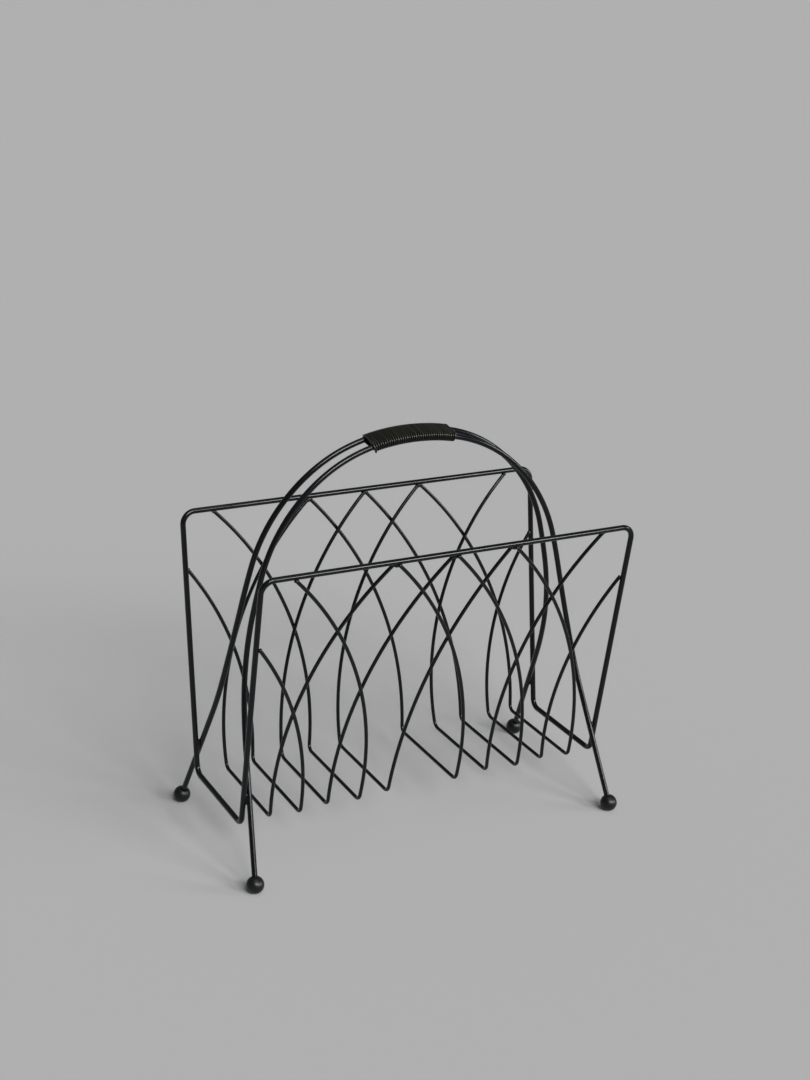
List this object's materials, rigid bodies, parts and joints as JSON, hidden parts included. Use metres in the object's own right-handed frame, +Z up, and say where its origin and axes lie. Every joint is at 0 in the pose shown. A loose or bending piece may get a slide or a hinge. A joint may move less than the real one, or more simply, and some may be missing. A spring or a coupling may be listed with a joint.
{
  "type": "magazine basket",
  "caption": "Welded wire magazine basket with leaning panels of crossing wires, arched hoops for legs, a cord-wound grip and ball feet.",
  "frame": {"origin": "on the floor, under the middle of the basket", "axes": "+X along the rails towards the right end, +Y from the front panel to the back panel, +Z up"},
  "size_m": [0.455, 0.229, 0.4484],
  "materials": {
    "painted_wire": "semi-gloss black paint",
    "ball_feet": "satin black",
    "grip_cord": "glossy dark olive-black cord"
  },
  "bodies": {
    "root": {"rim_frame": "painted_wire", "basket_wire_01": "painted_wire", "basket_wire_02": "painted_wire", "basket_wire_03": "painted_wire", "basket_wire_04": "painted_wire", "basket_wire_05": "painted_wire", "basket_wire_06": "painted_wire", "basket_wire_07": "painted_wire", "basket_wire_08": "painted_wire", "basket_wire_09": "painted_wire", "basket_wire_10": "painted_wire", "front_hoop": "painted_wire", "back_hoop": "painted_wire", "foot_ball_front_left": "ball_feet", "foot_ball_front_right": "ball_feet", "foot_ball_back_left": "ball_feet", "foot_ball_back_right": "ball_feet", "grip_winding": "grip_cord"}
  },
  "joints": []
}
